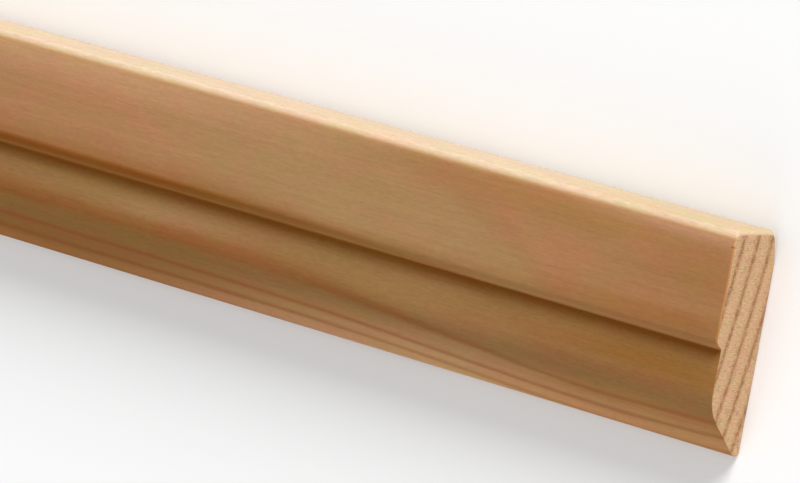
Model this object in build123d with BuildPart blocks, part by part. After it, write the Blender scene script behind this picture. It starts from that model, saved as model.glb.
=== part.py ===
"""Door stop moulding: one length of planed softwood with a flat, a quirk and an ovolo.

X runs along the length, Y across the width towards the square edge that the door closes
against, and Z out of the moulded front. The middle of the flat back is the origin.
"""

import os
from math import radians, tan

from build123d import *

# Overall size of the planed stick
length = 2100.0
width = 36.0
thickness = 12.0

# Square edge that the door closes against
edge_round = 1.2
edge_back_round = 0.9

# Easing of the back beside the square edge
back_ease_rise = 5.0
back_ease_depth = 1.6
back_ease_radius = 15.0

# Quirk, the small step between the flat and the ovolo, and the nose above it
quirk_height = 17.2
quirk_depth = 1.6
quirk_round = 0.3
nose_underside_angle = 32.0
nose_round = 1.2

# Ovolo, from its shoulder down the slant to the thin foot against the lining
ovolo_radius = 7.0
slant_angle = 40.5
foot_thickness = 1.7
foot_round = 1.5
foot_back_round = 0.5

# Broken arris round each sawn end
end_arris = 0.4

# Levels across the width, measured from the middle of the back
edge_level = width / 2
foot_level = -width / 2
quirk_level = foot_level + quirk_height
back_ease_level = edge_level - back_ease_rise

# Levels out of the back, and the heights that the two slants gain on the way
ovolo_face = thickness - quirk_depth
nose_level = quirk_level + quirk_depth * tan(radians(nose_underside_angle))
shoulder_level = foot_level + (ovolo_face - foot_thickness) * tan(radians(slant_angle))

# Corners of the section in order round it, each with the radius that softens it
section_corners = [
    ((foot_level, 0), foot_back_round),
    ((foot_level, foot_thickness), foot_round),
    ((shoulder_level, ovolo_face), ovolo_radius),
    ((quirk_level, ovolo_face), quirk_round),
    ((nose_level, thickness), nose_round),
    ((edge_level, thickness), edge_round),
    ((edge_level, back_ease_depth), edge_back_round),
    ((back_ease_level, 0), back_ease_radius),
]

with BuildPart() as moulding:
    with BuildSketch(Plane.YZ) as section:
        with BuildLine():
            FilletPolyline(
                [corner for corner, radius in section_corners],
                radius=[radius for corner, radius in section_corners],
                close=True,
            )
        make_face()
    extrude(amount=length / 2, both=True)
    sawn_ends = moulding.faces().filter_by(GeomType.PLANE).filter_by(Axis.X)
    chamfer(sawn_ends.edges(), length=end_arris)

moulding.part.label = "moulding"

os.makedirs("parts", exist_ok=True)
export_step(moulding.part, "parts/moulding.step")
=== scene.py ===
"""Looks of a door stop moulding: one stick of planed pine, lying on its back on a pale floor.

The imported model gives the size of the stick. The finely made stick built here has the same
section, with eased sawn ends, and is dressed in a solid pine figure: growth rings run through the
whole piece, so that its faces, edges and sawn ends all cut the same rings.
"""

import logging
import math
from dataclasses import dataclass, field
from enum import Enum
from functools import reduce

import bpy
import numpy as np
from mathutils import Matrix, Vector
from mathutils.geometry import delaunay_2d_cdt


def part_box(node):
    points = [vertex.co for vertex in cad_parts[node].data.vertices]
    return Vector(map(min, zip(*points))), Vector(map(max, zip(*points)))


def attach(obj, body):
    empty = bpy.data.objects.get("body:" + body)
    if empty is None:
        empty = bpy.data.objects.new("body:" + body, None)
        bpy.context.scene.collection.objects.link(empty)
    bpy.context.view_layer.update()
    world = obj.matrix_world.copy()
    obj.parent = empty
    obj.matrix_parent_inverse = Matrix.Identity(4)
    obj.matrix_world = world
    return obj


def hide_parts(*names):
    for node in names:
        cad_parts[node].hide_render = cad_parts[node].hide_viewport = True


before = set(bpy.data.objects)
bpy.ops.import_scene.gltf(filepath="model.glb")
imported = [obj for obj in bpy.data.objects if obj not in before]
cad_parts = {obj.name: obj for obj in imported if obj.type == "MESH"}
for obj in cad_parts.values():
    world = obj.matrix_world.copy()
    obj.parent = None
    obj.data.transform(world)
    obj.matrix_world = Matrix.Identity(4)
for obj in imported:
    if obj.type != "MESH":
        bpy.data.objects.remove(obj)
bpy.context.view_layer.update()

LOG = logging.getLogger("door_stop_moulding")
MM = 0.001
NODE = "moulding"
# The triangulation keeps the inside of the outline, and joins points this near, in metres.
TRIANGLES_INSIDE = 1
SAME_POINT = 1e-9

Colour = tuple[float, float, float]
Lengths = tuple[float, float, float]
Point = tuple[float, float]
Socket = bpy.types.NodeSocket


class SawnEnd(Enum):
    """The two sawn ends of the stick, by the side of the middle that each is on."""

    NEAR = 1
    FAR = -1


class Slot(Enum):
    """Material slots of the stick's mesh, in order."""

    PLANED = 0
    SAWN = 1


@dataclass(frozen=True)
class Arc:
    """The arc that softens a corner.

    Attributes:
        radius: Its radius, in metres.
        steps: Straight steps that it is drawn with.
    """

    radius: float
    steps: int


@dataclass(frozen=True)
class Corner:
    """One corner of the section.

    Attributes:
        at: The sharp corner, as metres across the width and out of the back.
        arc: The arc that softens it.
        run: Spacing of the points on the straight stretch that follows, in metres.
    """

    at: Point
    arc: Arc
    run: float


@dataclass(frozen=True)
class Section:
    """Section of the stick, with the same sizes as the solid, in metres.

    Across is measured from the middle of the back towards the square edge, and out from the back.
    The crown, a slight fall of the front towards the square edge, is in the scene alone.
    """

    width: float
    thickness: float
    edge_arc: Arc = Arc(1.2 * MM, 10)
    edge_back_arc: Arc = Arc(0.9 * MM, 8)
    back_ease_rise: float = 5.0 * MM
    back_ease_depth: float = 1.6 * MM
    back_ease_arc: Arc = Arc(15.0 * MM, 8)
    quirk_height: float = 17.2 * MM
    quirk_depth: float = 1.6 * MM
    quirk_arc: Arc = Arc(0.3 * MM, 5)
    nose_underside_angle: float = math.radians(32.0)
    nose_arc: Arc = Arc(1.2 * MM, 8)
    ovolo_arc: Arc = Arc(7.0 * MM, 15)
    slant_angle: float = math.radians(40.5)
    foot_thickness: float = 1.7 * MM
    foot_arc: Arc = Arc(1.5 * MM, 7)
    foot_back_arc: Arc = Arc(0.5 * MM, 5)
    crown_reach: float = 3.0 * MM
    crown_rate: float = 24.0
    crown_power: float = 4.0
    fine_run: float = 0.45 * MM
    middling_run: float = 0.6 * MM
    wide_run: float = 1.8 * MM

    def corners(self) -> list[Corner]:
        """Lists the corners in order from the foot, up the front and down the back.

        Returns:
            The corners with their arcs.
        """
        edge, foot = self.width / 2, -self.width / 2
        quirk = foot + self.quirk_height
        ovolo_face = self.thickness - self.quirk_depth
        nose = quirk + self.quirk_depth * math.tan(self.nose_underside_angle)
        slant_rise = (ovolo_face - self.foot_thickness) * math.tan(self.slant_angle)
        return [
            Corner((foot, 0.0), self.foot_back_arc, self.fine_run),
            Corner((foot, self.foot_thickness), self.foot_arc, self.fine_run),
            Corner((foot + slant_rise, ovolo_face), self.ovolo_arc, self.fine_run),
            Corner((quirk, ovolo_face), self.quirk_arc, self.fine_run),
            Corner((nose, self.thickness), self.nose_arc, self.middling_run),
            Corner((edge, self.thickness), self.edge_arc, self.middling_run),
            Corner((edge, self.back_ease_depth), self.edge_back_arc, self.fine_run),
            Corner((edge - self.back_ease_rise, 0.0), self.back_ease_arc, self.wide_run),
        ]

    def outline(self) -> np.ndarray:
        """Draws the closed outline of the section.

        Returns:
            One row of (across, out) for each point, in order round the section.
        """
        corners = self.corners()
        curves = [
            self._curve(corners[i - 1], corner, corners[(i + 1) % len(corners)])
            for i, corner in enumerate(corners)
        ]
        points: list[np.ndarray] = []
        for i, (corner, curve) in enumerate(zip(corners, curves)):
            points.extend(curve)
            start, end = curve[-1], curves[(i + 1) % len(curves)][0]
            pieces = max(1, round(float(np.linalg.norm(end - start)) / corner.run))
            points.extend(start + (end - start) * k / pieces for k in range(1, pieces))
        drawn = np.array(points)
        past = np.clip(drawn[:, 0] - (self.width / 2 - self.crown_reach), 0.0, None)
        share = np.clip(drawn[:, 1] / self.thickness, 0.0, 1.0) ** self.crown_power
        drawn[:, 1] -= self.crown_rate * past**2 * share
        return drawn

    @staticmethod
    def _curve(before: Corner, corner: Corner, after: Corner) -> list[np.ndarray]:
        """Draws the arc that softens one corner.

        Args:
            before: The corner before it.
            corner: The corner to soften.
            after: The corner after it.

        Returns:
            Points along the arc, from the side of the corner before.
        """
        radius, steps = corner.arc.radius, corner.arc.steps
        at = np.array(corner.at)
        back = np.array(before.at) - at
        ahead = np.array(after.at) - at
        back /= np.linalg.norm(back)
        ahead /= np.linalg.norm(ahead)
        half = math.acos(float(np.clip(back @ ahead, -1, 1))) / 2
        middle = (back + ahead) / np.linalg.norm(back + ahead)
        centre = at + middle * radius / math.sin(half)
        start = at + back * radius / math.tan(half) - centre
        end = at + ahead * radius / math.tan(half) - centre
        turn = math.atan2(start[0] * end[1] - start[1] * end[0], float(start @ end))
        points = []
        for k in range(steps + 1):
            c, s = math.cos(turn * k / steps), math.sin(turn * k / steps)
            spoke = np.array([c * start[0] - s * start[1], s * start[0] + c * start[1]])
            points.append(centre + spoke)
        return points


class Nodes:
    """Short ways to add and join the nodes of one shader tree."""

    def __init__(self, tree: bpy.types.NodeTree) -> None:
        """Starts on the tree that the nodes go into."""
        self.tree = tree

    def add(self, kind: str, *values: object, **settings: object) -> bpy.types.Node:
        """Adds a node, sets its properties and feeds its inputs.

        Args:
            kind: Type name of the node.
            values: Outputs or values for its first inputs, in order.
            settings: Properties of the node and their values.

        Returns:
            The new node.
        """
        node = self.tree.nodes.new(kind)
        for name, value in settings.items():
            setattr(node, name, value)
        for socket, value in zip(node.inputs, values):
            self.feed(socket, value)
        return node

    def feed(self, socket: Socket, value: object) -> None:
        """Joins an output to an input, or sets the input's own value.

        Args:
            socket: The input.
            value: An output socket, or a value that the input takes.
        """
        if isinstance(value, Socket):
            self.tree.links.new(value, socket)
        else:
            socket.default_value = value

    def math(self, operation: str, *values: object) -> Socket:
        """Adds one step of arithmetic on outputs or numbers."""
        return self.add("ShaderNodeMath", *values, operation=operation).outputs[0]

    def total(self, *values: object) -> Socket:
        """Adds up several outputs or numbers."""
        return reduce(lambda first, second: self.math("ADD", first, second), values)

    def product(self, *values: object) -> Socket:
        """Multiplies several outputs or numbers."""
        return reduce(lambda first, second: self.math("MULTIPLY", first, second), values)

    def ramp(self, value: object, *stops: Point, steps: bool = False) -> Socket:
        """Maps a value through stops.

        Args:
            value: The output to map, from 0 to 1.
            stops: Pairs of place and level.
            steps: Whether each level holds until the next stop.

        Returns:
            The level at the value.
        """
        node = self.add("ShaderNodeValToRGB", value)
        node.color_ramp.interpolation = "CONSTANT" if steps else "LINEAR"
        elements = node.color_ramp.elements
        while len(elements) < len(stops):
            elements.new(0.5)
        for element, (place, level) in zip(elements, stops):
            element.position = place
            element.color = (level, level, level, 1)
        return node.outputs["Color"]

    def bell(self, value: object, middle: float, spread: float) -> Socket:
        """Rises to one at a middle and falls away on both sides, within a spread each way."""
        away = self.math("DIVIDE", self.math("SUBTRACT", value, middle), spread)
        return self.math("EXPONENT", self.product(away, away, -0.5))

    def swing(self, noise: object, amount: float) -> Socket:
        """Centres noise on zero, and makes it swing by the amount each way where it is full."""
        return self.math("MULTIPLY", self.math("SUBTRACT", noise, 0.5), 2 * amount)

    def blend(self, share: object, first: object, second: object, how: str = "MIX") -> Socket:
        """Blends two colours.

        Args:
            share: How much of the second colour shows.
            first: The colour below.
            second: The colour above.
            how: Name of the way of blending.

        Returns:
            The blended colour.
        """
        node = self.add("ShaderNodeMix", share, data_type="RGBA", blend_type=how)
        for name, colour in (("A", first), ("B", second)):
            socket = next(s for s in node.inputs if s.name == name and s.type == "RGBA")
            self.feed(socket, (*colour, 1.0) if isinstance(colour, tuple) else colour)
        return next(s for s in node.outputs if s.type == "RGBA")

    def brightness(self, colour: object, *amounts: object) -> Socket:
        """Makes a colour lighter and darker by shares of itself.

        Args:
            colour: The colour.
            amounts: Shares around zero, added together.

        Returns:
            The changed colour.
        """
        node = self.add("ShaderNodeVectorMath", colour, operation="SCALE")
        self.feed(node.inputs["Scale"], self.total(1.0, *amounts))
        return node.outputs[0]

    def relief(self, shader: bpy.types.Node, depth: float, *heights: object) -> None:
        """Puts fine relief on a surface.

        Args:
            shader: Shader of the surface.
            depth: Height of one unit of relief, in metres.
            heights: Heights in units, added together.
        """
        bump = self.add("ShaderNodeBump")
        bump.inputs["Strength"].default_value = 1.0
        bump.inputs["Distance"].default_value = depth
        self.feed(bump.inputs["Height"], self.total(*heights))
        self.feed(shader.inputs["Normal"], bump.outputs[0])


@dataclass(frozen=True)
class Fade:
    """A smooth change of level, held at both ends.

    Attributes:
        start: Where it starts.
        full: Where it is complete, on either side of the start.
        low: Level at the start.
        high: Level where it is complete.
    """

    start: float
    full: float
    low: float = 0.0
    high: float = 1.0

    def at(self, n: Nodes, value: Socket) -> Socket:
        """Reads the level at a value."""
        fed = (value, self.start, self.full, self.low, self.high)
        return n.add("ShaderNodeMapRange", *fed, interpolation_type="SMOOTHSTEP").outputs["Result"]


@dataclass(frozen=True)
class Noise:
    """A soft, uneven pattern in the wood.

    Attributes:
        size: Its lengths along the stick, up the section and through the thickness, in millimetres.
        detail: How many finer layers it has.
        roughness: How strong the finer layers are.
        amount: How far it swings each way, where it is read as a swing.
    """

    size: Lengths
    detail: float = 2.0
    roughness: float = 0.5
    amount: float = 0.0

    def read(self, n: Nodes, place: Socket) -> Socket:
        """Reads the pattern.

        Args:
            n: Nodes of the tree.
            place: Place in millimetres.

        Returns:
            The noise, around 0.5.
        """
        scale = tuple(1 / length for length in self.size)
        stretch = n.add("ShaderNodeVectorMath", place, scale, operation="MULTIPLY")
        noise = n.add("ShaderNodeTexNoise", stretch.outputs[0], noise_dimensions="3D")
        noise.inputs["Scale"].default_value = 1.0
        noise.inputs["Detail"].default_value = self.detail
        noise.inputs["Roughness"].default_value = self.roughness
        return noise.outputs["Fac"]

    def swing(self, n: Nodes, place: Socket) -> Socket:
        """Reads the pattern as a swing around zero, by its amount each way."""
        return n.swing(self.read(n, place), self.amount)


@dataclass(frozen=True)
class Swirl:
    """A place where the rings dip towards the back, as they do beside a knot.

    Attributes:
        at: Distance of its middle from the near sawn end, in millimetres.
        spread: How far it reaches each way, in millimetres.
        dip: How far the rings dip at its middle, in millimetres.
    """

    at: float
    spread: float
    dip: float

    def lift(self, n: Nodes, back: Socket) -> Socket:
        """Works out how far it lifts the rings, which is below zero where they dip."""
        return n.product(n.bell(back, self.at, self.spread), -self.dip)


@dataclass(frozen=True)
class Figure:
    """Outputs that the finishes read, at each place in the wood.

    Attributes:
        place: Place in millimetres: back from the near end, up from the foot, out from the back.
        back: The first of these.
        up: The second.
        out: The third.
        swirl: Closeness to the swirl at the near end, up to one.
        age: Count of rings from the front, whole at each dark latewood line.
        part: Part of a ring's width since its last line.
        depth: How strong the latewood line nearby is.
        power: How narrow that line is.
    """

    place: Socket
    back: Socket
    up: Socket
    out: Socket
    swirl: Socket
    age: Socket
    part: Socket
    depth: Socket
    power: Socket


@dataclass(frozen=True)
class GrowthRings:
    """Growth rings through the stick, in millimetres, read from places on the near sawn end.

    The rings lie nearly flat to the back, with the heart of the tree out beyond the front. They bow
    towards the front at the foot, and shift through the thickness along the length. A drift wave is
    its length for one radian, and its height. Depths and powers are listed from the line whose
    number is first_listed.
    """

    stick_length: float
    stick_width: float
    ring_width: float = 3.867
    first_line: float = 9.815
    bow_middle: float = 73.88
    bow_radius: float = 248.68
    near_swirl: Swirl = Swirl(18.0, 29.0, 3.59)
    far_swirls: tuple[Swirl, ...] = (
        Swirl(560.0, 60.0, 2.6),
        Swirl(1240.0, 45.0, -2.2),
        Swirl(1830.0, 70.0, 3.0),
    )
    front_dips: tuple[Swirl, ...] = (Swirl(25.0, 9.0, 0.85), Swirl(0.0, 8.0, 0.4))
    rear_dip: Swirl = Swirl(48.0, 28.0, 0.9)
    rear_in: Fade = Fade(2.3, 2.8)
    rear_out: Fade = Fade(3.3, 3.8, 1.0, 0.0)
    first_listed: int = -1
    line_depths: tuple[float, ...] = (0.4, 0.1, 0.2, 0.5, 0.56, 0.46, 0.6, 0.6)
    line_powers: tuple[float, ...] = (3.0, 3.0, 4.0, 1.3, 1.3, 1.4, 1.5, 1.5)
    drift_in: Fade = Fade(160.0, 420.0)
    drift_waves: tuple[Point, ...] = ((118.0, 1.5), (47.0, 0.6))
    wander: Noise = Noise((26.0, 8.0, 6.0), amount=0.9)
    tremor: Noise = Noise((14.0, 2.0, 2.0), 1.0, amount=0.16)

    def figure(self, n: Nodes) -> Figure:
        """Works out the figure of the wood.

        Args:
            n: Nodes of the tree.

        Returns:
            The figure.
        """
        here = n.add("ShaderNodeTexCoord").outputs["Object"]
        scale = (-1 / MM, 1 / MM, 1 / MM)
        foot = (self.stick_length / 2, self.stick_width / 2, 0.0)
        node = n.add("ShaderNodeVectorMath", here, scale, foot, operation="MULTIPLY_ADD")
        place = node.outputs[0]
        back, up, out = n.add("ShaderNodeSeparateXYZ", place).outputs
        age = self._age(n, place, back, up, out)
        nearest = n.math("FLOOR", n.total(age, 0.5))
        count = len(self.line_depths)
        listed = n.math("DIVIDE", n.total(nearest, 0.5 - self.first_listed), count)
        highest = max(self.line_powers)
        depth, power = (
            n.ramp(listed, *((k / count, v / top) for k, v in enumerate(levels)), steps=True)
            for levels, top in ((self.line_depths, 1.0), (self.line_powers, highest))
        )
        swirl = n.bell(back, self.near_swirl.at, self.near_swirl.spread)
        part = n.math("FRACT", age)
        return Figure(place, back, up, out, swirl, age, part, depth, n.product(power, highest))

    def _age(self, n: Nodes, place: Socket, back: Socket, up: Socket, out: Socket) -> Socket:
        """Counts the rings from the front to each place.

        Args:
            n: Nodes of the tree.
            place: Place in millimetres.
            back: Its distance from the near end.
            up: Its height above the foot.
            out: Its distance out of the back.

        Returns:
            The count, whole at each latewood line.
        """
        from_middle = n.math("SUBTRACT", self.bow_middle, up)
        bow = n.math("DIVIDE", n.product(from_middle, from_middle), 2 * self.bow_radius)
        level = n.math("SUBTRACT", n.total(self.first_line, bow), out)
        swirls = n.total(*(swirl.lift(n, back) for swirl in (self.near_swirl, *self.far_swirls)))
        waves = [
            n.product(n.math("SINE", n.math("DIVIDE", back, length)), height)
            for length, height in self.drift_waves
        ]
        wander = self.wander.swing(n, place)
        drift = n.product(n.total(*waves, wander), self.drift_in.at(n, back))
        depth = n.total(level, swirls, drift, self.tremor.swing(n, place))
        first = n.math("DIVIDE", depth, self.ring_width)
        rear = self.rear_in.at(n, first)
        front_bend = n.total(*(dip.lift(n, back) for dip in self.front_dips))
        bend = n.total(
            n.product(front_bend, n.math("SUBTRACT", 1.0, rear)),
            n.product(self.rear_dip.lift(n, back), rear, self.rear_out.at(n, first)),
        )
        return n.total(first, n.math("DIVIDE", bend, self.ring_width))


@dataclass(frozen=True)
class Patch:
    """A cloud of another tone in the front of the long faces, in millimetres.

    Attributes:
        back: Distance of its middle from the near sawn end.
        up: Height of its middle above the foot.
        reach: How far it spreads along the stick and up the section.
        tone: Its colour.
        share: How much of it shows at its middle.
        front: How far out of the back it starts and is full.
    """

    back: float
    up: float
    reach: Point
    tone: Colour
    share: float
    front: Point = (5.0, 8.0)

    def strength(self, n: Nodes, wood: Figure) -> Socket:
        """Works out how much of it shows.

        Args:
            n: Nodes of the tree.
            wood: The figure of the wood.

        Returns:
            The share.
        """
        along = n.bell(wood.back, self.back, self.reach[0])
        across = n.bell(wood.up, self.up, self.reach[1])
        return n.product(along, across, Fade(*self.front, high=self.share).at(n, wood.out))


@dataclass(frozen=True)
class Belt:
    """A change of tone that comes in up the section, and along the stick where it says so.

    Attributes:
        tone: The colour it brings, or the colour it multiplies by.
        up: Height where it starts and height where it is full, in millimetres.
        back: The same two places back from the near sawn end, or nothing where it runs all along.
        share: How much of it shows where it is full.
    """

    tone: Colour
    up: Point
    back: Point | None = None
    share: float = 1.0

    def strength(self, n: Nodes, wood: Figure, *shares: Socket) -> Socket:
        """Works out how much of it shows.

        Args:
            n: Nodes of the tree.
            wood: The figure of the wood.
            shares: More shares to multiply in.

        Returns:
            The share.
        """
        strength = n.product(Fade(*self.up, high=self.share).at(n, wood.up), *shares)
        if self.back is None:
            return strength
        return n.product(strength, Fade(*self.back).at(n, wood.back))


@dataclass(frozen=True)
class Nick:
    """A small dent in the front, beside the near sawn end, in millimetres.

    Attributes:
        back: Distance of its middle from the sawn end.
        up: Height of its middle above the foot.
        length: Half of its length along the stick.
        height: Half of its height.
        front: How far out of the back the wood has to be, so that it stays on the front.
        tone: Its colour.
    """

    back: float = 0.30
    up: float = 33.28
    length: float = 0.22
    height: float = 0.09
    front: float = 11.0
    tone: Colour = (0.22, 0.105, 0.04)

    def strength(self, n: Nodes, wood: Figure) -> Socket:
        """Works out how much of it shows.

        Args:
            n: Nodes of the tree.
            wood: The figure of the wood.

        Returns:
            The share.
        """
        return n.product(
            n.bell(wood.back, self.back, self.length),
            n.bell(wood.up, self.up, self.height),
            n.math("GREATER_THAN", wood.out, self.front),
        )


@dataclass(frozen=True)
class PlanedPine:
    """Long faces of the stick: planed, unpainted pine with a light satin sheen."""

    rings: GrowthRings
    nick: Nick = Nick()
    rosy: Colour = (0.395, 0.194, 0.090)
    straw: Colour = (0.372, 0.214, 0.095)
    straw_rings: Fade = Fade(-0.12, 0.1)
    straw_near: Fade = Fade(92.0, 130.0, 1.0, 0.0)
    straw_far: Fade = Fade(130.0, 200.0)
    straw_clouds: Noise = Noise((52.0, 15.0, 12.0))
    straw_from_cloud: Fade = Fade(0.4, 0.6)
    flat_belts: tuple[Belt, ...] = (
        Belt((0.50, 0.272, 0.140), (27.5, 34.5), (45.0, 130.0), 0.95),
        Belt((0.32, 0.148, 0.055), (24.5, 19.4), (75.0, 110.0), 0.6),
        Belt((0.30, 0.145, 0.050), (20.9, 19.2), None, 0.45),
    )
    flat_patches: tuple[Patch, ...] = (
        Patch(12.0, 26.0, (17.0, 4.5), (0.366, 0.180, 0.078), 0.95),
        Patch(30.0, 32.5, (24.0, 2.2), (0.372, 0.182, 0.064), 0.9),
        Patch(4.0, 27.5, (8.0, 3.0), (0.330, 0.153, 0.052), 0.7),
        Patch(10.0, 20.2, (18.0, 1.3), (0.285, 0.118, 0.030), 0.65),
        Patch(8.0, 34.3, (13.0, 0.9), (0.50, 0.27, 0.15), 0.8),
    )
    front: Fade = Fade(0.1, 0.8)
    moulded: Fade = Fade(18.5, 16.5)
    # Tones of the moulded faces up the section and along the stick; the first is painted shade,
    # making the whole moulded face darker and more saturated than the flat.
    moulded_tones_and_painted_shade: tuple[Belt, ...] = (
        Belt((0.85, 0.785, 0.665), (17.3, 16.6)),
        Belt((0.85, 0.77, 0.59), (11.5, 6.7), (50.0, 120.0)),
        Belt((0.93, 0.80, 0.42), (7.0, 4.0), (80.0, 150.0)),
        Belt((0.95, 0.88, 0.76), (9.5, 6.0), (60.0, 25.0)),
        Belt((1.65, 1.70, 2.05), (8.0, 0.0), (140.0, 60.0)),
        Belt((1.25, 1.25, 1.8), (2.8, 1.0), (60.0, 120.0)),
        Belt((0.98, 0.88, 0.78), (7.0, 5.0), (40.0, 20.0)),
        Belt((1.02, 1.13, 1.28), (4.2, 3.2), (40.0, 20.0)),
        Belt((1.0, 0.92, 0.77), (6.6, 5.4), (45.0, 80.0)),
        Belt((1.0, 1.07, 1.25), (4.6, 3.6), (45.0, 80.0)),
    )
    moulded_patches: tuple[Patch, ...] = (
        Patch(13.0, 12.2, (16.0, 2.2), (0.290, 0.118, 0.026), 0.85),
        Patch(115.0, 12.3, (12.0, 1.3), (0.40, 0.245, 0.125), 0.5),
        Patch(20.0, 10.0, (22.0, 1.3), (0.27, 0.130, 0.052), 0.45),
        Patch(98.0, 10.8, (14.0, 0.6), (0.27, 0.100, 0.032), 0.45),
    )
    quirk: float = 17.12
    # Painted shadow: a dark line along the quirk under the nose, fading out down the ovolo.
    quirk_painted_shadow: tuple[Belt, ...] = (
        Belt((0.665, 0.445, 0.147), (13.8, 17.3)),
        Belt((1.0, 0.90, 0.80), (16.4, 16.8)),
    )
    nose_shade: Belt = Belt((0.71, 0.54, 0.255), (19.6, 18.7), (35.0, 120.0))
    nose_underside: Fade = Fade(18.1, 17.4, 1.0, 0.5)
    # Nose round a little warmer, then painted light on its underside near the sawn end, and painted
    # shade on the underside just above the quirk.
    nose_tones_painted_light_and_shade: tuple[Belt, ...] = (
        Belt((1.06, 0.99, 0.82), (18.9, 18.2)),
        Belt((1.08, 1.15, 1.30), (18.1, 17.6), (70.0, 40.0)),
        Belt((0.80, 0.66, 0.50), (17.55, 17.12)),
    )
    latewood: Colour = (0.225, 0.050, 0.003)
    line_stops: tuple[Point, ...] = (
        (0.0, 1.0), (0.05, 0.9), (0.1, 0.6), (0.16, 0.3), (0.24, 0.08), (0.32, 0.0),
        (0.6, 0.0), (0.7, 0.1), (0.78, 0.3), (0.86, 0.65), (0.93, 0.93), (1.0, 1.0),
    )
    line_loss_in_swirl: float = 0.16
    line_strength: Noise = Noise((70.0, 20.0, 9.0), 1.0, amount=0.3)
    # Orange band below the square edge, then paler bands over the arris and the edge: partly paler
    # wood, partly a painted highlight on the arris and painted sheen on the edge.
    edge_tones_and_painted_sheen: tuple[Belt, ...] = (
        Belt((0.50, 0.255, 0.108), (33.9, 34.8), None, 0.85),
        Belt((0.61, 0.43, 0.255), (34.4, 35.1)),
        Belt((0.605, 0.455, 0.330), (35.05, 35.5)),
        Belt((0.515, 0.385, 0.243), (35.7, 35.98)),
    )
    edge_streak: Colour = (0.52, 0.335, 0.185)
    streaks: Noise = Noise((45.0, 0.8, 0.8), 3.0, 0.6, 0.10)
    streak_from_noise: Fade = Fade(0.45, 0.68)
    streak_on_edge: Fade = Fade(34.9, 35.6, 0.0, 0.55)
    edge_end: Belt = Belt((0.93, 0.94, 0.83), (35.2, 35.8), (45.0, 15.0))
    # Lighter on the arris beside the near sawn end, above the nose: partly paler cut fibres, partly
    # a painted highlight.
    end_arris_fibres_and_highlight: Belt = Belt((1.32, 1.27, 1.16), (17.4, 18.0), (0.26, 0.14))
    below_edge: Fade = Fade(33.9, 34.8, 1.0, 0.0)
    mottle: Noise = Noise((9.0, 4.0, 4.0), 1.0)
    rose_tint: Colour = (1.02, 0.968, 0.985)
    rose_from_mottle: Fade = Fade(0.48, 0.62)
    olive_tint: Colour = (0.985, 1.016, 0.955)
    olive_from_mottle: Fade = Fade(0.52, 0.38)
    fibres: Noise = Noise((2.6, 0.22, 0.22), 2.0, 0.6, 0.13)
    grain: Noise = Noise((1.1, 0.36, 0.36), 1.0, 0.6, 0.09)
    moulded_grain: Fade = Fade(18.0, 16.5, 1.0, 1.25)
    edge_grain: Fade = Fade(34.9, 35.6, 1.0, 1.6)
    clouds: Noise = Noise((18.0, 5.0, 5.0), amount=0.06)
    roughness: float = 0.2
    fibre_roughness: float = 0.05
    line_roughness: float = 0.04
    gloss: float = 0.02
    relief: float = 0.01 * MM
    fibre_relief: float = 0.6
    line_relief: float = 0.8
    nick_relief: float = -4.0

    def material(self) -> bpy.types.Material:
        """Makes the material.

        Returns:
            The material.
        """
        material, n, shader = start_material("planed_pine")
        wood = self.rings.figure(n)
        fibres = self.fibres.read(n, wood.place)
        streaks = self.streaks.read(n, wood.place)
        nick = self.nick.strength(n, wood)
        line = n.math("POWER", n.ramp(wood.part, *self.line_stops), wood.power)
        lost = n.product(wood.swirl, wood.power, -self.line_loss_in_swirl)
        line_strength = n.total(1.0, self.line_strength.swing(n, wood.place))
        shown = n.product(line, wood.depth, n.total(1.0, lost), line_strength)
        colour = n.blend(shown, self._mould(n, wood, self._flat(n, wood)), self.latewood)
        colour = self._edge(n, wood, streaks, colour)
        mottle = self.mottle.read(n, wood.place)
        for fade, tint in (
            (self.rose_from_mottle, self.rose_tint),
            (self.olive_from_mottle, self.olive_tint),
        ):
            colour = n.blend(fade.at(n, mottle), colour, tint, "MULTIPLY")
        texture = n.product(
            n.total(n.swing(fibres, self.fibres.amount), self.grain.swing(n, wood.place)),
            self.moulded_grain.at(n, wood.up),
            self.edge_grain.at(n, wood.up),
        )
        streak = n.swing(streaks, self.streaks.amount)
        colour = n.brightness(colour, texture, streak, self.clouds.swing(n, wood.place))
        n.feed(shader.inputs["Base Color"], n.blend(nick, colour, self.nick.tone))
        roughness = n.total(
            self.roughness,
            n.swing(fibres, self.fibre_roughness),
            n.product(line, self.line_roughness),
        )
        n.feed(shader.inputs["Roughness"], roughness)
        shader.inputs["Specular IOR Level"].default_value = self.gloss
        n.relief(
            shader,
            self.relief,
            n.swing(fibres, self.fibre_relief),
            n.product(line, self.line_relief),
            n.product(nick, self.nick_relief),
        )
        return material

    def _flat(self, n: Nodes, wood: Figure) -> Socket:
        """Colours the flat face above the nose, and the back, between the latewood lines.

        Args:
            n: Nodes of the tree.
            wood: The figure of the wood.

        Returns:
            The colour.
        """
        clouds = self.straw_clouds.read(n, wood.place)
        near = n.product(self.straw_rings.at(n, wood.age), self.straw_near.at(n, wood.back))
        far = n.product(self.straw_from_cloud.at(n, clouds), self.straw_far.at(n, wood.back))
        colour = n.blend(n.total(near, far), self.rosy, self.straw)
        for change in (*self.flat_belts, *self.flat_patches):
            colour = n.blend(change.strength(n, wood), colour, change.tone)
        return colour

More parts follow.
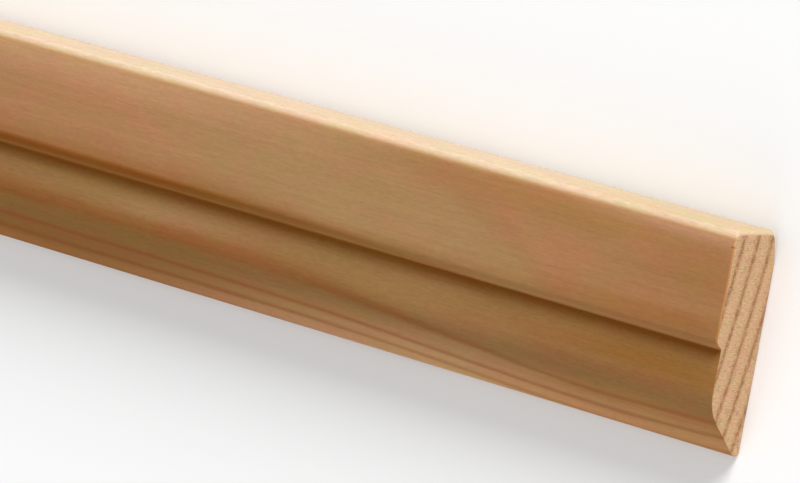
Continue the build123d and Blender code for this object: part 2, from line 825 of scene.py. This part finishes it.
    def _mould(self, n: Nodes, wood: Figure, flat: Socket) -> Socket:
        """Colours the moulded faces below the flat: darker and warmer, partly by painted shade.

        Args:
            n: Nodes of the tree.
            wood: The figure of the wood.
            flat: Colour of the flat face.

        Returns:
            The colour of all long faces.
        """
        front = self.front.at(n, wood.out)
        below = n.math("LESS_THAN", wood.up, self.quirk)
        above = n.math("SUBTRACT", 1.0, below)
        colour = n.blend(n.product(self.moulded.at(n, wood.up), front), flat, self.straw)
        for belt in self.moulded_tones_and_painted_shade:
            colour = n.blend(belt.strength(n, wood, front), colour, belt.tone, "MULTIPLY")
        for patch in self.moulded_patches:
            colour = n.blend(patch.strength(n, wood), colour, patch.tone)
        # Painted shadow along the quirk, and painted shade and light on the nose round and
        # underside.
        shades = (
            *((belt, (below, front)) for belt in self.quirk_painted_shadow),
            (self.nose_shade, (above, front, self.nose_underside.at(n, wood.up))),
            *((belt, (above, front)) for belt in self.nose_tones_painted_light_and_shade),
        )
        for belt, shares in shades:
            colour = n.blend(belt.strength(n, wood, *shares), colour, belt.tone, "MULTIPLY")
        return colour

    def _edge(self, n: Nodes, wood: Figure, streaks: Socket, colour: Socket) -> Socket:
        """Colours the square edge, pale and streaky with painted sheen, and the arris by the sawn
        end.

        Args:
            n: Nodes of the tree.
            wood: The figure of the wood.
            streaks: Noise of the streaks.
            colour: Colour of the other long faces.

        Returns:
            The colour of all long faces.
        """
        for belt in self.edge_tones_and_painted_sheen:
            colour = n.blend(belt.strength(n, wood), colour, belt.tone)
        streaked = n.product(
            self.streak_from_noise.at(n, streaks),
            self.streak_on_edge.at(n, wood.up),
        )
        colour = n.blend(streaked, colour, self.edge_streak)
        below = self.below_edge.at(n, wood.up)
        for belt, shares in ((self.edge_end, ()), (self.end_arris_fibres_and_highlight, (below,))):
            colour = n.blend(belt.strength(n, wood, *shares), colour, belt.tone, "MULTIPLY")
        return colour


@dataclass(frozen=True)
class EndGrain:
    """Sawn ends of the stick: open end grain, paler and rougher than the faces."""

    rings: GrowthRings
    earlywood: Colour = (0.580, 0.358, 0.192)
    mottle: Noise = Noise((2.0, 2.2, 1.6), 1.0)
    rosy: Colour = (0.570, 0.332, 0.190)
    rosy_from_mottle: Fade = Fade(0.5, 0.66)
    straw: Colour = (0.545, 0.360, 0.182)
    straw_from_mottle: Fade = Fade(0.5, 0.36)
    latewood: Colour = (0.270, 0.098, 0.026)
    line_share: float = 0.8
    line_stops: tuple[Point, ...] = (
        (0.0, 1.0), (0.05, 0.9), (0.1, 0.45), (0.17, 0.12), (0.24, 0.0), (0.5, 0.0),
        (0.76, 0.14), (0.85, 0.42), (0.93, 0.95), (1.0, 1.0),
    )
    breaks: Noise = Noise((1.0, 1.1, 0.5), 2.0, 0.6)
    line_from_breaks: Fade = Fade(0.32, 0.62, 0.45, 1.0)
    speckle: Noise = Noise((1.0, 0.32, 0.75), 2.0, 0.6, 0.33)
    pores: Noise = Noise((1.0, 0.17, 0.17), 1.0, amount=0.16)
    rays: Noise = Noise((1.0, 0.16, 1.5), 1.0, amount=0.15)
    flecks: Noise = Noise((1.0, 0.42, 0.5), 0.0)
    fleck_shade: Fade = Fade(0.66, 0.8, 0.0, -0.2)
    blotches: Noise = Noise((1.0, 1.6, 1.2))
    blotch_shade: Fade = Fade(0.53, 0.72, 0.0, -0.16)
    roughness: float = 0.75
    gloss: float = 0.2
    relief: float = 0.05 * MM
    speckle_relief: float = 0.6
    ray_relief: float = 0.3

    def material(self) -> bpy.types.Material:
        """Makes the material.

        Returns:
            The material.
        """
        material, n, shader = start_material("end_grain")
        wood = self.rings.figure(n)
        breaks, mottle, speckle, blotches, rays, flecks = (
            noise.read(n, wood.place)
            for noise in (
                self.breaks, self.mottle, self.speckle, self.blotches, self.rays, self.flecks,
            )
        )
        colour = n.blend(self.rosy_from_mottle.at(n, mottle), self.earlywood, self.rosy)
        colour = n.blend(self.straw_from_mottle.at(n, mottle), colour, self.straw)
        line = n.ramp(wood.part, *self.line_stops)
        shown = n.product(line, self.line_from_breaks.at(n, breaks), self.line_share)
        colour = n.blend(shown, colour, self.latewood)
        colour = n.brightness(
            colour,
            n.swing(speckle, self.speckle.amount),
            self.pores.swing(n, wood.place),
            n.swing(rays, self.rays.amount),
            self.fleck_shade.at(n, flecks),
            self.blotch_shade.at(n, blotches),
        )
        n.feed(shader.inputs["Base Color"], colour)
        shader.inputs["Roughness"].default_value = self.roughness
        shader.inputs["Specular IOR Level"].default_value = self.gloss
        speckle_height = n.swing(speckle, self.speckle_relief)
        n.relief(shader, self.relief, speckle_height, n.swing(rays, self.ray_relief))
        return material


def start_material(name: str) -> tuple[bpy.types.Material, Nodes, bpy.types.Node]:
    """Starts a material with one plain shader.

    Args:
        name: Name of the material.

    Returns:
        The material, its nodes and its shader.
    """
    material = bpy.data.materials.new(name)
    material.use_nodes = True
    material.node_tree.nodes.clear()
    n = Nodes(material.node_tree)
    shader = n.add("ShaderNodeBsdfPrincipled")
    n.add("ShaderNodeOutputMaterial", shader.outputs["BSDF"])
    return material, n, shader


@dataclass(frozen=True)
class Sheet:
    """Flat layout of the surface: the long faces in two rows, and both sawn ends above them.

    Attributes:
        name: Name of the layout.
        margin: Free border round the sheet.
        rows: Low and high side of each row, the near half of the length first.
        ends_from: Low side of the strip with the sawn ends.
        end_scale: Size on the sheet of one metre of a sawn end.
        end_step: Distance between the left sides of the two sawn ends.
    """

    name: str = "OFBake"
    margin: float = 0.005
    rows: tuple[Point, Point] = ((0.005, 0.41), (0.42, 0.825))
    ends_from: float = 0.832
    end_scale: float = 13.5
    end_step: float = 0.5

    def long_faces(self, along: np.ndarray, around: np.ndarray) -> np.ndarray:
        """Lays out the long faces.

        Args:
            along: Distance of each section from the near end, along the surface.
            around: Distance of each point round the section, with the full turn last.

        Returns:
            The four corners of each face, section by section.
        """
        middle, end = len(along) // 2, len(along) - 1
        turn = around / around[-1]
        usable = 1 - 2 * self.margin
        faces = []
        for r in range(end):
            row, first, last = (0, 0, middle) if r < middle else (1, middle, end)
            low, high = self.rows[row]
            v = low + (high - low) * turn
            sides = []
            for k in (r, r + 1):
                share = usable * (along[k] - along[first]) / (along[last] - along[first])
                sides.append(np.column_stack([np.full(len(v), self.margin + share), v]))
            left, right = sides
            faces.append(np.stack([left[:-1], left[1:], right[1:], right[:-1]], axis=1))
        return np.concatenate(faces)

    def sawn(self, end: SawnEnd, corners: np.ndarray, width: float) -> np.ndarray:
        """Lays out the corners of a sawn end's triangles, across and out of the back."""
        left = self.margin if end is SawnEnd.NEAR else self.margin + self.end_step
        return (corners + (width / 2, 0.0)) * self.end_scale + (left, self.ends_from)


@dataclass
class Stick:
    """The stick of moulding: its planed faces, the eased arris round each end and the sawn ends.

    The sawn ends are filled with points on a grid, shifted at random by up to a share of its
    spacing, and kept clear of the edge by another share of it.
    """

    length: float
    section: Section
    moulded_arris: float = 0.1 * MM
    flat_arris: float = 0.2 * MM
    flat_arris_rise: float = 1.0 * MM
    edge_arris: float = 0.7 * MM
    edge_arris_rise: float = 1.4 * MM
    arris_steps: int = 5
    end_pitch: float = 3.0 * MM
    pitch: float = 24.0 * MM
    grid: float = 0.45 * MM
    grid_shift: float = 0.25
    grid_clearance: float = 0.6
    seed: int = 7
    sheet: Sheet = Sheet()
    outline: np.ndarray = field(init=False)

    def __post_init__(self) -> None:
        """Draws the outline once."""
        self.outline = self.section.outline()

    def build(self) -> bpy.types.Object:
        """Builds the whole stick as one closed mesh.

        Returns:
            The stick.
        """
        count = len(self.outline)
        rings = self.rings()
        points = list(np.concatenate(rings))
        faces: list[tuple[int, ...]] = []
        for r in range(len(rings) - 1):
            low, high = r * count, (r + 1) * count
            for i in range(count):
                j = (i + 1) % count
                faces.append((low + i, low + j, high + j, high + i))
        slots = [Slot.PLANED.value] * len(faces)
        steps = [float(np.linalg.norm(b - a, axis=1).mean()) for a, b in zip(rings, rings[1:])]
        girth = np.linalg.norm(np.roll(self.outline, -1, axis=0) - self.outline, axis=1)
        planed = self.sheet.long_faces(np.cumsum([0.0, *steps]), np.cumsum([0.0, *girth]))
        layout = [planed.reshape(-1, 2)]
        for end, first in ((SawnEnd.NEAR, 0), (SawnEnd.FAR, (len(rings) - 1) * count)):
            sawn = self._close(end, first, points)
            faces.extend(sawn)
            slots.extend([Slot.SAWN.value] * len(sawn))
            corners = np.array([points[i][1:] for face in sawn for i in face])
            layout.append(self.sheet.sawn(end, corners, self.section.width))
        mesh = bpy.data.meshes.new("pine_moulding")
        mesh.from_pydata([tuple(p) for p in points], [], faces)
        mesh.polygons.foreach_set("material_index", slots)
        mesh.polygons.foreach_set("use_smooth", [True] * len(faces))
        places = mesh.uv_layers.new(name=self.sheet.name).data
        places.foreach_set("uv", np.concatenate(layout).ravel())
        mesh.update()
        stick = bpy.data.objects.new("pine_moulding", mesh)
        bpy.context.scene.collection.objects.link(stick)
        return stick

    def dress(self, stick: bpy.types.Object) -> None:
        """Dresses the stick in pine, slot by slot.

        Args:
            stick: The stick.
        """
        rings = GrowthRings(self.length / MM, self.section.width / MM)
        finishes = {Slot.PLANED: PlanedPine(rings), Slot.SAWN: EndGrain(rings)}
        for slot in Slot:
            stick.data.materials.append(finishes[slot].material())

    def rings(self) -> list[np.ndarray]:
        """Draws the section at each place along the length, and over the arris at each end.

        Returns:
            The points of each section, from the near end to the far one.
        """
        count = len(self.outline)
        sizes = self.arris_sizes()
        near = []
        for k in range(self.arris_steps + 1):
            t = math.pi / 2 * k / self.arris_steps
            x = self.length / 2 - sizes * (1 - math.cos(t))
            near.append(self._ring(x, sizes * (1 - math.sin(t))))
        along = [self._ring(np.full(count, x), np.zeros(count)) for x in self.stations()]
        return near + along + [ring * (-1, 1, 1) for ring in reversed(near)]

    def stations(self) -> list[float]:
        """Lists the places along the length where the section is drawn, clear of the arrises.

        Returns:
            Distances from the middle, from the near end to the far one.
        """
        half = self.length / 2 - 2 * self.edge_arris
        inner = half - self.end_pitch
        count = 2 * round(inner / self.pitch)
        return [half, *(inner - 2 * inner * k / count for k in range(count + 1)), -half]

    def arris_sizes(self) -> np.ndarray:
        """Sizes the eased arris: crisp on the moulded side, and worn most on the square edge.

        Returns:
            One size for each point of the outline.
        """
        flat = self._eased(self.section.quirk_height, self.flat_arris_rise)
        edge = self._eased(self.section.width - self.edge_arris_rise, self.edge_arris_rise)
        sizes = self.moulded_arris + (self.flat_arris - self.moulded_arris) * flat
        return sizes + (self.edge_arris - self.flat_arris) * edge

    def _eased(self, start: float, rise: float) -> np.ndarray:
        """Goes smoothly from zero to one up the section, from a start above the foot."""
        share = np.clip((self.outline[:, 0] + self.section.width / 2 - start) / rise, 0, 1)
        return share * share * (3 - 2 * share)

    def _ring(self, x: np.ndarray, inset: np.ndarray) -> np.ndarray:
        """Draws the section at places along the length, moved into the wood.

        Args:
            x: Distance of each point from the middle.
            inset: How far each point moves into the wood.

        Returns:
            One point for each point of the outline.
        """
        ahead = np.roll(self.outline, -1, axis=0) - self.outline
        back = self.outline - np.roll(self.outline, 1, axis=0)
        along = ahead / np.linalg.norm(ahead, axis=1)[:, None]
        along += back / np.linalg.norm(back, axis=1)[:, None]
        along /= np.linalg.norm(along, axis=1)[:, None]
        inward = np.stack([along[:, 1], -along[:, 0]], axis=1)
        return np.column_stack([x, self.outline + inward * inset[:, None]])

    def _close(self, end: SawnEnd, first: int, points: list[np.ndarray]) -> list[tuple[int, ...]]:
        """Closes one end with a field of small triangles.

        Args:
            end: Which end.
            first: Number of the first point of the end's outline.
            points: All points so far, which grow.

        Returns:
            The triangles.
        """
        count = len(self.outline)
        rim = np.array(points[first : first + count])
        ring = rim[:, 1:]
        flat = [Vector(p) for p in np.concatenate([ring, self._field(ring)])]
        edges = [(i, (i + 1) % count) for i in range(count)]
        outer = [list(range(count))]
        made = delaunay_2d_cdt(flat, edges, outer, TRIANGLES_INSIDE, SAME_POINT)
        corners, triangles, origins = made[0], made[2], made[3]
        numbers = []
        for place, origin in zip(corners, origins):
            if origin and origin[0] < count:
                numbers.append(first + origin[0])
            else:
                numbers.append(len(points))
                points.append(np.array([rim[0, 0], place.x, place.y]))
        faces = []
        for triangle in triangles:
            a, b, c = (numbers[i] for i in triangle)
            faces.append((a, b, c) if end is SawnEnd.NEAR else (a, c, b))
        return faces

    def _field(self, ring: np.ndarray) -> np.ndarray:
        """Scatters points over the inside of an outline.

        Args:
            ring: The outline.

        Returns:
            Points inside it, clear of its edge.
        """
        rng = np.random.default_rng(self.seed)
        low, high = ring.min(0), ring.max(0)
        ys = np.arange(low[0] + self.grid, high[0], self.grid)
        zs = np.arange(low[1] + self.grid, high[1], self.grid)
        grid = np.stack(np.meshgrid(ys, zs, indexing="ij"), -1).reshape(-1, 2)
        grid += rng.uniform(-self.grid_shift, self.grid_shift, grid.shape) * self.grid
        inside = np.zeros(len(grid), bool)
        near = np.full(len(grid), np.inf)
        for a, b in zip(ring, np.roll(ring, -1, axis=0)):
            crosses = (a[1] > grid[:, 1]) != (b[1] > grid[:, 1])
            if crosses.any():
                at = a[0] + (grid[:, 1] - a[1]) * (b[0] - a[0]) / (b[1] - a[1])
                inside ^= crosses & (grid[:, 0] < at)
            near = np.minimum(near, np.linalg.norm(grid - (a + b) / 2, axis=1))
        return grid[inside & (near > self.grid_clearance * self.grid)]


@dataclass(frozen=True)
class Lamp:
    """One large soft light, far off.

    Attributes:
        name: Its name.
        strength: Its strength.
        spread: Its width in the sky, in degrees.
        azimuth: Turn round the object to where it stands, in degrees.
        elevation: Its height above the floor, in degrees.
    """

    name: str
    strength: float
    spread: float
    azimuth: float
    elevation: float

    def hang(self) -> None:
        """Hangs the light."""
        data = bpy.data.lights.new(self.name, "SUN")
        data.energy = self.strength
        data.angle = math.radians(self.spread)
        lamp = bpy.data.objects.new(self.name, data)
        back = direction(math.radians(self.azimuth), math.radians(self.elevation))
        lamp.rotation_euler = back.to_track_quat("Z", "Y").to_euler()
        bpy.context.scene.collection.objects.link(lamp)


@dataclass(frozen=True)
class Studio:
    """Pale floor, soft lights and the camera."""

    floor_size: float = 60.0
    floor_drop: float = 0.05 * MM
    floor_tone: Colour = (0.93, 0.93, 0.93)
    floor_roughness: float = 0.9
    room_tone: Colour = (1.0, 1.0, 1.0)
    room_strength: float = 0.45
    lamps: tuple[Lamp, ...] = (
        Lamp("key", 3.75, 30.0, 160.0, 20.0),
        Lamp("top", 0.4, 60.0, 0.0, 75.0),
        Lamp("fill", 0.8, 60.0, -10.0, 18.0),
    )
    aim_from_end: float = 67.4 * MM
    aim_across: float = 0.83 * MM
    aim_height: float = 6.07 * MM
    distance: float = 0.9676
    azimuth: float = math.radians(103.02)
    elevation: float = math.radians(52.79)
    roll: float = math.radians(90.1)
    lens: float = 270.28
    film_width: float = 36.0
    sight: Point = (0.05, 200.0)

    def set_up(self, length: float) -> None:
        """Makes the floor, the lights and the camera.

        Args:
            length: Length of the stick.
        """
        self.floor()
        self.room()
        for lamp in self.lamps:
            lamp.hang()
        self.camera(length)
        settings = bpy.context.scene.view_settings
        settings.view_transform = "Standard"
        settings.look = "None"

    def floor(self) -> None:
        """Lays the floor."""
        h = self.floor_size / 2
        mesh = bpy.data.meshes.new("floor")
        mesh.from_pydata([(-h, -h, 0), (h, -h, 0), (h, h, 0), (-h, h, 0)], [], [(0, 1, 2, 3)])
        floor = bpy.data.objects.new("floor", mesh)
        bpy.context.scene.collection.objects.link(floor)
        material, _, shader = start_material("pale_floor")
        shader.inputs["Base Color"].default_value = (*self.floor_tone, 1)
        shader.inputs["Roughness"].default_value = self.floor_roughness
        shader.inputs["Specular IOR Level"].default_value = 0.0
        mesh.materials.append(material)
        floor.location.z = -self.floor_drop

    def room(self) -> None:
        """Fills the room with even light."""
        world = bpy.data.worlds.new("room")
        world.use_nodes = True
        background = world.node_tree.nodes["Background"]
        background.inputs["Color"].default_value = (*self.room_tone, 1)
        background.inputs["Strength"].default_value = self.room_strength
        bpy.context.scene.world = world

    def camera(self, length: float) -> None:
        """Sets up the camera at the photograph's viewing angle.

        Args:
            length: Length of the stick.
        """
        data = bpy.data.cameras.new("camera")
        data.sensor_width = self.film_width
        data.lens = self.lens
        data.clip_start, data.clip_end = self.sight
        camera = bpy.data.objects.new("camera", data)
        back = direction(self.azimuth, self.elevation)
        right = Vector((0, 0, 1)).cross(back).normalized()
        up = back.cross(right)
        turned_up = up * math.cos(self.roll) + right * math.sin(self.roll)
        turned_right = turned_up.cross(back)
        axes = Matrix((turned_right, turned_up, back)).transposed().to_4x4()
        aim = Vector((length / 2 - self.aim_from_end, self.aim_across, self.aim_height))
        camera.matrix_world = Matrix.Translation(aim + back * self.distance) @ axes
        bpy.context.scene.collection.objects.link(camera)
        bpy.context.scene.camera = camera


def direction(azimuth: float, elevation: float) -> Vector:
    """Gives the unit way out to a place, 0 in front and a quarter turn on the +X side."""
    level = math.cos(elevation)
    return Vector((math.sin(azimuth) * level, -math.cos(azimuth) * level, math.sin(elevation)))


def main() -> None:
    """Builds the stick, dresses it and sets up the studio."""
    logging.basicConfig(level=logging.INFO, format="%(name)s: %(message)s")
    low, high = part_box(NODE)
    size = high - low
    stick = Stick(size.x, Section(size.y, size.z))
    piece = stick.build()
    stick.dress(piece)
    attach(piece, "root")
    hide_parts(NODE)
    LOG.info("%s: %d faces", piece.name, len(piece.data.polygons))
    Studio().set_up(size.x)


if __name__ == "__main__":
    main()
